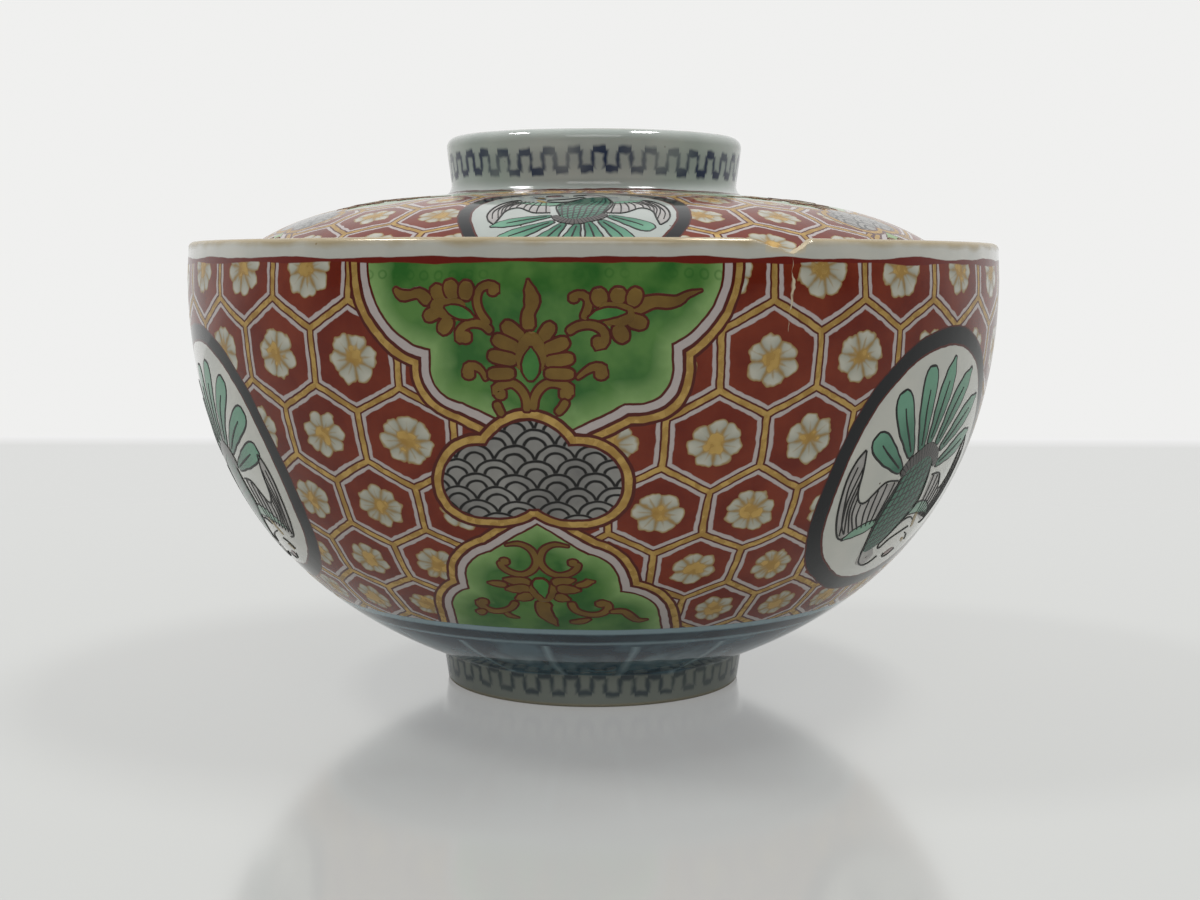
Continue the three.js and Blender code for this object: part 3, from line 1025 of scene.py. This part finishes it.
lowerScrolls = [
    (0, "gold", lyreWidths, lyre), (0, "gold", lyreWidths, [(-1.2 - x, y) for x, y in lyre]),
    bulb(-5, 40.1, 0.62), bulb(3.8, 40.1, 0.62), bulb(-8.9, 31.9, 0.72), bulb(6.7, 32.1, 0.66),
    (0, "gold", (0.4, 0.55, 0.45, 0.06), [(-5.2, 35.7), (-6.6, 35.9), (-7.7, 36)]),
    (0, "gold", (0.3, 0.5, 0.5, 0.25), [(3.8, 35.9), (5, 36.2), (5.8, 36.9), (6.1, 36.5)]),
    (1, "gold", (1.3, 1, 1, 0.7, 0.05),
     [(-0.5, 32.6), (-0.9, 31.1), (-0.7, 29.5), (-0.1, 28.2), (0.5, 26.8)]),
    (0, "gilt", (2.2, 3.5, 3, 1.4), [(-0.6, 36.8), (-0.5, 32.8)]),
    (1, "gold", leaf(0.85), [(-2, 36.3), (-5.5, 36.8)]),
    (1, "gold", leaf(0.85), [(0.8, 36.4), (3.8, 37)]),
    (2, "gold", leaf(0.9), [(-2.2, 35.2), (-5.4, 34.9)]),
    (2, "gold", leaf(0.9), [(1.3, 35.3), (4.3, 35)]),
    (3, "gold", leaf(0.9), [(-2, 33.9), (-4.3, 32.9)]),
    (3, "gold", leaf(0.9), [(0.9, 33.8), (2.8, 33)]),
    (5, "gilt", (1.9, 2.1, 1.6, 1.1), [(-0.6, 36.6), (-0.5, 32.4)]),
    (6, "leaf", (0.9, 1.1, 0.7, 0.06), [(-0.8, 37.2), (-0.6, 35.4), (-0.4, 33.5)]),
    (0, "gold", (0.45, 0.45, 0.5, 0.75),
     [(-4.4, 32.3), (-5.3, 30.7), (-7.2, 29.8), (-8.7, 30.3), (-9.4, 31.4), (-9.3, 32.1)]),
    (1, "gold", (0.4, 0.6, 0.8), [(-8.9, 30), (-10.1, 29)]),
    (0, "gold", (0.35, 0.4, 0.06), [(-6.1, 29.7), (-5.6, 28.9), (-4.5, 28.5)]),
    (0, "gold", (0.48, 0.48, 0.48, 0.6),
     [(2.9, 32.5), (3.3, 30.7), (4.8, 29.7), (6.5, 29.8), (7.6, 31.1), (7.4, 32.2), (6.4, 32.4)]),
    (1, "gold", (0.35, 0.5, 0.6, 0.5, 0.05),
     [(7.8, 30.3), (9.5, 30.4), (10.4, 29.2), (11.2, 28.2), (12.5, 28.3)]),
    (1, "gold", (0.35, 0.55, 0.25), [(2.4, 27.8), (3.6, 27.9), (5, 28.6)]),
]

wing = {                             # left of the bird, from its tip down
    "inner": [(-14.9, 4.3), (-14.2, 1.4), (-13.6, -1.6), (-12.4, -3.4), (-11.1, -3.6), (-10, -2.3),
              (-8.4, -0.8), (-5.2, -0.7)],
    "outer": [(-15, 4.4), (-16.1, 2.8), (-16.6, 0.2), (-16, -3.4), (-14.8, -6.4), (-12.9, -9), (-11.5, -9.5),
              (-6, -7)],
    "lines": 9, "linesFrom": 0.12, "linesTo": 0.93, "lineEnds": ((-12.7, -8.8), (-6.9, -7.2)), "bow": 1.2,
}
body = {
    "left": [(-1.2, 3.1), (2, 1.9), (2.9, -2.1), (3, -5.1), (1.2, -7.9), (-1.5, -11.6), (-4.4, -12.9)],
    "right": [(-1.4, 3.1), (-4.8, 1.2), (-6.1, -3.6), (-6.4, -7.4), (-5.5, -10.8), (-4.4, -12.9)],
}
phoenix = {                          # x and y from the middle of the medallion
    "axis": -0.9,
    "pairedPatches": [(0, "wash", wing["inner"], wing["outer"])],
    "patches": [(3, "plumage", body["left"], body["right"])],
    "paired": [
        (4, "ink", (0.14,), wing["inner"][:-1] + [(-5.6, -0.8)]),
        (4, "ink", (0.14,), wing["outer"][:7]),
        (4, "ink", (0.1, 0.14, 0.1), [(-15.5, 2), (-15.6, -1.6), (-13.8, -6.4), (-12.1, -8.5)]),
    ],
    "feathers": [                    # root, middle, tip and half width
        ((-6.1, 0.7), (-10.4, 3.5), (-13.8, 6.1), 1.65), ((-4.8, 2.7), (-8.1, 7.4), (-10.4, 12), 1.75),
        ((-2.7, 3.3), (-4.1, 8.8), (-4.5, 15.2), 1.7), ((-1.1, 4.2), (-0.2, 9.8), (1.5, 16.2), 1.75),
        ((1.2, 4), (3.9, 9.3), (8, 14.4), 1.75), ((3, 3.2), (7.7, 6.9), (12.8, 10.4), 1.65),
        ((3.6, 0.8), (8.3, 2.8), (13.6, 5.2), 1.5)],
    "single": [
        (1, "tealPale", (0.5, 0.9, 0.75, 0.1), [(-6.4, -7.2), (-8.2, -7.9), (-10, -8.6), (-11.6, -9.5)]),
        (1, "tealPale", (0.5, 0.95, 0.95, 0.5, 0.08), [(1.9, -6.6), (4.5, -6), (8, -6.7), (10.6, -8)]),
        (5, "ruff", (0.7, 1, 1.15, 1, 0.7),
         [(-5.6, -0.2), (-4.7, 1.3), (-2.6, 2.6), (-0.3, 3.4), (2.1, 2.4), (3, 0.6)]),
        (2, "wash", (1.2, 1.7, 1.1), [(-4.6, -12.2), (-2.9, -13.8), (-0.9, -14.3)]),
        (4, "ink", (0.15,),
         [(-4.9, 0.2), (-6.1, -3.6), (-6.4, -7.4), (-5.5, -10.8), (-4.6, -13.3), (-3.5, -14.8),
          (-1.6, -15.6), (-0.2, -15.3), (0.9, -14.2)]),
        (4, "ink", (0.15,), [(2, 0.8), (2.8, -2.1), (3, -5.1), (1.2, -7.9), (-1.5, -11.6)]),
        (4, "ink", (0.13,), [(-1.5, -11.6), (-0.6, -12.6), (0.8, -11.1), (3.3, -10), (5.1, -9.4)]),
        (4, "ink", (0.13,), [(0.4, -8.8), (1.8, -7.8), (3.6, -7.6), (5.1, -8.2)]),
        (1, "crest", (0.3, 0.6, 0.4), [(3, -14.2), (4, -13.9), (5.3, -13.5)]),
        (4, "ink", (0.12,), [(2.6, -14), (3.2, -14.8), (4.6, -14.6), (5.7, -13.5)]),
        (4, "ink", (0.24,), [(-2.7, -13.9), (-2.5, -13.9)]),
        (1, "straw", (0.3, 0.5, 0.35), [(4.9, -6.3), (5.7, -8), (6.9, -9.8)]),
        (4, "ink", (0.12,), [(5.4, -10.6), (6.7, -11.1), (7.6, -12.2)]),
        (1, "straw", (0.2, 0.4, 0.3), [(5.7, -11.6), (7, -12.4)]),
    ],
}


def mirrored(points):
    return [(2 * phoenix["axis"] - x, y) for x, y in points]


def paintBird(bm, place, tips):
    for layer, paint, left, right in phoenix["pairedPatches"]:
        layPatch(bm, place, (layer, paint, left, right))
        layPatch(bm, place, (layer, paint, mirrored(right), mirrored(left)))
    paired = list(phoenix["paired"])
    brink = softLine(wing["inner"])
    for i in range(wing["lines"]):   # bowed lines from the wing's inner edge down to its foot
        share = i / (wing["lines"] - 1)
        reached = wing["linesFrom"] + (wing["linesTo"] - wing["linesFrom"]) * share
        start = brink.at(reached * brink.lengths[-1])[0]
        end = Vector(wing["lineEnds"][0]).lerp(wing["lineEnds"][1], share)
        middle = start.lerp(end, 0.5) - Vector((wing["bow"] * (1 - share), 0))
        paired.append((4, "ink", (0.1, 0.13, 0.1), [start.lerp(middle, 0.08), middle, end]))
    for layer, paint, widths, points in paired:
        layStroke(bm, place, (layer, paint, widths, points))
        layStroke(bm, place, (layer, paint, widths, mirrored(points)))
    for i, (root, middle, tip, half) in enumerate(phoenix["feathers"]):
        shape = plume if i < 3 else tips
        layStroke(bm, place, (1, "teal", shape(half), [root, middle, tip]))
        start, end = Vector(root).lerp(middle, 0.15), Vector(middle).lerp(tip, 0.5)
        layStroke(bm, place, (4, "ink", (0.14, 0.18, 0.12), [start, middle, end]))
    for patch in phoenix["patches"]:
        layPatch(bm, place, patch)
    for stroke in phoenix["single"]:
        layStroke(bm, place, stroke)


def panelPlacer(surface, plan, third):
    def place(x, y, lift):
        arc = (y - drawing["panelMiddle"]) * plan["panelScale"] + plan["panelArc"]
        turn = radians(plan["panelTurn"] + third) + x * plan["panelScale"] / surface.at(arc)[0].x
        return surface.place(turn, arc, lift)
    return place


def discPlacer(surface, plan, third, hand):      # each bird sits a little differently in its ring
    shift, tilt = Vector(hand[:2]), Matrix.Rotation(radians(hand[2]), 2)

    def place(x, y, lift):
        at = (tilt @ Vector((x, y)) + shift) * plan["discScale"]
        arc = at.y + plan["discArc"]
        turn = radians(plan["discTurn"] + third) + at.x / surface.at(arc)[0].x
        return surface.place(turn, arc, lift)
    return place


hands = {                            # each bird's shift sideways and up, its tilt and its feathers' tips
    0: ((0, 0, 0), quill), 120: ((0.2, -0.6, 2), plume), 240: ((0.6, -1.2, -3), plume),
}


def brushwork(surface, plan):
    bm = bmesh.new()
    bm.loops.layers.uv.new("stroke")
    for third, (hand, tips) in hands.items():
        onPanel = panelPlacer(surface, plan, third)
        for stroke in upperScrolls + lowerScrolls:
            if min(point[1] for point in stroke[3]) > plan["lowestStroke"]:
                layStroke(bm, onPanel, stroke)
        paintBird(bm, discPlacer(surface, plan, third, hand), tips)
    bmesh.ops.remove_doubles(bm, verts=bm.verts, dist=1e-7)
    return bm


# Floor, light and camera

stageSettings = {
    "back": 0.4, "front": -3, "side": 3, "colour": colour(203, 205, 201), "roughness": 0.13, "mirror": 0.36,
    "glow": 0.88, "glowShare": 0.28, "fade": 0.05, "dullness": 0.6,
}


def buildFloor(settings):
    bm = bmesh.new()
    bmesh.ops.create_grid(bm, x_segments=1, y_segments=1, size=1)
    for vert in bm.verts:
        vert.co.x *= settings["side"]
        vert.co.y = settings["back"] if vert.co.y > 0 else settings["front"]
    mesh = bpy.data.meshes.new("floor")
    bm.to_mesh(mesh)
    bm.free()
    floor = bpy.data.objects.new("floor", mesh)
    scene.collection.objects.link(floor)
    material, start = newMaterial("paleAcrylic")
    ray = start.node("ShaderNodeLightPath", out="Is Camera Ray")
    roughness = ray * (settings["roughness"] - settings["dullness"]) + settings["dullness"]
    surface = start.node("ShaderNodeBsdfPrincipled", {}, {
        "Base Color": settings["colour"], "Roughness": roughness, "Metallic": settings["mirror"]})
    glow = start.node("ShaderNodeEmission", {}, {"Strength": settings["glow"]})
    place = start.node("ShaderNodeSeparateXYZ", {}, {0: start.node("ShaderNodeTexCoord", out="Object")})
    fadeMiddle = settings["back"] - settings["fade"] / 2
    faded = beyond(place.also("Y"), fadeMiddle, settings["fade"])    # into the backdrop
    seen = most(ray, ray.also("Is Glossy Ray"), ray.also("Is Transmission Ray"))
    share = seen * most(faded, settings["glowShare"])
    pale = start.node("ShaderNodeMixShader", {}, {0: share, 1: surface, 2: glow})
    start.node("ShaderNodeOutputMaterial", {}, {"Surface": pale})
    mesh.materials.append(material)
    floor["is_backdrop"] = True


worldSettings = {
    "fill": 0.28, "seen": 0.87, "shine": 0.8, "dimFront": 0.1, "dimSoft": 0.9, "tint": (1, 1, 0.99, 1),
}


def buildWorld(settings):
    world = bpy.data.worlds.new("studio")
    scene.world = world
    world.use_nodes = True
    world.node_tree.nodes.clear()
    start = Value(world.node_tree)
    ray = start.node("ShaderNodeLightPath", out="Is Camera Ray")
    glossy = ray.also("Is Glossy Ray")
    seen = most(ray, ray.also("Is Transmission Ray"))
    way = start.node("ShaderNodeSeparateXYZ", {}, {0: start.node("ShaderNodeTexCoord", out="Generated")})
    behind = beyond(way.also("Y"), 0, settings["dimSoft"])       # the room in front is dim
    shine = behind * (settings["shine"] - settings["dimFront"]) + settings["dimFront"]
    fill = settings["fill"]
    level = seen * (settings["seen"] - fill) + glossy * (shine - fill) + fill
    background = start.node("ShaderNodeBackground", {}, {"Color": settings["tint"], "Strength": level})
    start.node("ShaderNodeOutputWorld", {}, {"Surface": background})


lamps = {                            # place, width and depth in metres, power
    "overheadLeft": ((-0.54, 0.05, 0.9), (0.22, 0.16), 3.2),
    "overheadRight": ((0.3, 0.05, 0.9), (0.36, 0.16), 3.9),
    "frontFill": ((0, -1.1, 0.8), (0.9, 0.5), 3.1),
}

lampAim = Vector((0, 0, 0.04))


def buildLamps():
    for name, (place, size, power) in lamps.items():
        data = bpy.data.lights.new(name, "AREA")
        data.shape = "RECTANGLE"
        data.size, data.size_y = size
        data.energy = power
        lamp = bpy.data.objects.new(name, data)
        lamp.location = place
        lamp.rotation_euler = (lampAim - Vector(place)).to_track_quat("-Z", "Y").to_euler()
        scene.collection.objects.link(lamp)


cameraSettings = {"place": (0.00095, -0.2755, 0.0623), "down": 5.67, "roll": 0.14, "lens": 54, "sensor": 36}


def buildCamera(settings):
    data = bpy.data.cameras.new("camera")
    data.lens = settings["lens"]
    data.sensor_width = settings["sensor"]
    data.clip_start = 0.01
    camera = bpy.data.objects.new("camera", data)
    camera.location = settings["place"]
    camera.rotation_euler = (radians(90 - settings["down"]), radians(-settings["roll"]), 0)
    scene.collection.objects.link(camera)
    scene.camera = camera


buildFloor(stageSettings)
buildWorld(worldSettings)
buildLamps()
buildCamera(cameraSettings)
scene.view_settings.view_transform = "Standard"
print("floor, lamps and camera set")

# The bowl, broken a little at its lip

lipBreak = {                         # turns in degrees, arc lengths and depths in millimetres
    "from": 18.6, "deepest": 24.2, "to": 26.7, "margin": 1, "arcFrom": 76, "arcTo": 95, "cuts": 3,
    "depth": 2, "ease": 0.8, "roughness": 0.25, "roughScale": 900, "roughIn": 4,
}


def breakLip(bm, settings):
    brokenLayer = bm.verts.layers.float.new("broken")
    arcLayer = bm.verts.layers.float["arc"]
    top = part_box("bowl")[1][2] / mm

    def turnDegrees(vert):
        return turnOf(vert.co) / radians(1)

    def near(vert):
        aside = max(settings["from"] - turnDegrees(vert), turnDegrees(vert) - settings["to"])
        return aside < settings["margin"] and settings["arcFrom"] < vert[arcLayer] < settings["arcTo"]

    edges = [edge for edge in bm.edges if all(near(vert) for vert in edge.verts)]
    bmesh.ops.subdivide_edges(bm, edges=edges, cuts=settings["cuts"], use_grid_fill=True)
    for vert in bm.verts:
        if not near(vert):
            continue
        turn = turnDegrees(vert)
        side = "from" if turn < settings["deepest"] else "to"
        share = (turn - settings[side]) / (settings["deepest"] - settings[side])
        share = max(share, 0)
        rough = noise.noise(vert.co * settings["roughScale"]) * settings["roughness"]
        rough *= min(share * settings["roughIn"], 1)
        floor = (top - settings["depth"] * share ** settings["ease"] + rough) * mm
        if share > 0 and vert.co.z > floor:
            vert.co.z = floor
            vert[brokenLayer] = 1
    for face in bm.faces:
        face.smooth = not all(vert[brokenLayer] > 0.5 for vert in face.verts)
    for edge in bm.edges:
        edge.smooth = len({face.smooth for face in edge.link_faces}) < 2


bowlBm, bowlSurface = turnedShell(bowlProfile(bowlShape))
breakLip(bowlBm, lipBreak)
settleOrder(bowlBm)
layBakeMap(bowlBm, bowlSurface.lengths[-1])
bowlShell = addPiece("bowlShell", bowlBm, "bowl", [bowlGlaze(bowlPlan, bowlBands)])
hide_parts("bowl")

lidBm, lidSurface = turnedShell(lidProfile(lidShape))
layBakeMap(lidBm, lidSurface.lengths[-1])
lidShell = addPiece("lidShell", lidBm, "lid", [lidGlaze(lidPlan, lidBands)])
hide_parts("lid")

enamelMaterials = [enamel(name) for name in enamels]
addPiece("bowlBrushwork", brushwork(bowlSurface, bowlPlan), "bowl", enamelMaterials)
addPiece("lidBrushwork", brushwork(lidSurface, lidPlan), "lid", enamelMaterials)

sizes = {"cad": [list(corner) for corner in cadBox], "visual": [list(corner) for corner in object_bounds()]}
